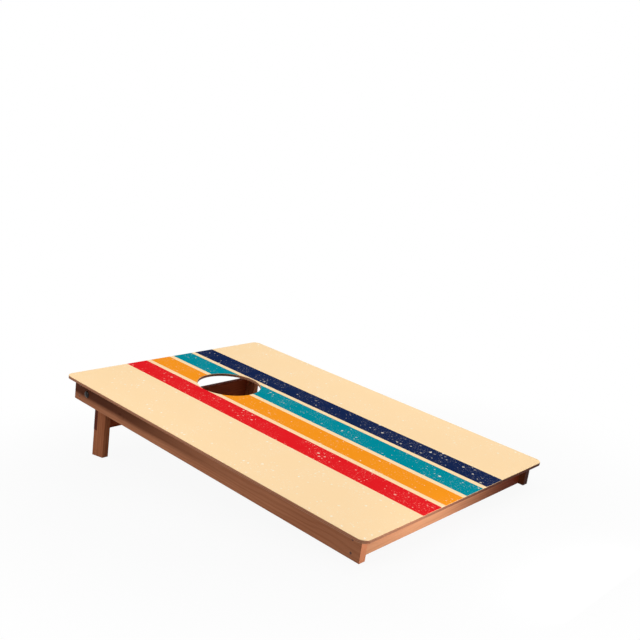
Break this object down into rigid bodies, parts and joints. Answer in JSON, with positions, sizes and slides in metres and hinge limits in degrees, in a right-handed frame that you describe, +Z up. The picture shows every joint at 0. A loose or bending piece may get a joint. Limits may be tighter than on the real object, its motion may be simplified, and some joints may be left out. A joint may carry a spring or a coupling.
{
  "type": "cornhole board",
  "caption": "Sloping bag-toss board: striped deck with a round hole near its high end, a shallow wood frame and legs that fold up under it.",
  "frame": {"origin": "on the ground under the middle of the board's box, in its playing pose", "axes": "+X from the high end with the hole to the low front end, +Y across the board to its right side rail, +Z up"},
  "size_m": [0.9028, 0.6096, 0.2038],
  "materials": {
    "deck_plywood": "stained plywood, sanded edge",
    "printed_film": "satin printed laminate",
    "stained_rail": "walnut stain, satin",
    "stained_leg": "walnut stain, satin",
    "leg_bar": "dark red-brown stain, satin",
    "spacer_block": "walnut stain, satin",
    "bolt_steel": "dark zinc, semi-gloss",
    "washer_zinc": "zinc plated",
    "nut_zinc": "zinc plated, nylon collar",
    "screw_steel": "dull bronze coating"
  },
  "bodies": {
    "frame": {"back_rail": "stained_rail", "deck_brads": "screw_steel", "deck_panel": "deck_plywood", "face_film": "printed_film", "front_rail": "stained_rail", "left_leg_spacer": "spacer_block", "left_lock_nut": "nut_zinc", "left_pivot_bolt": "bolt_steel", "left_pivot_washers": "washer_zinc", "left_side_rail": "stained_rail", "rail_screws": "screw_steel", "right_leg_spacer": "spacer_block", "right_lock_nut": "nut_zinc", "right_pivot_bolt": "bolt_steel", "right_pivot_washers": "washer_zinc", "right_side_rail": "stained_rail", "spacer_brads": "spacer_block"},
    "legs": {"left_leg": "stained_leg", "right_leg": "stained_leg", "leg_crossbar": "leg_bar", "crossbar_screws": "screw_steel"}
  },
  "joints": [
    {"name": "leg_fold", "type": "hinge", "parent": "frame", "child": "legs", "pos_m": [-0.39267, 0, 0.16185], "axis": [0, -1, 0], "range_deg": [0, 90]}
  ]
}
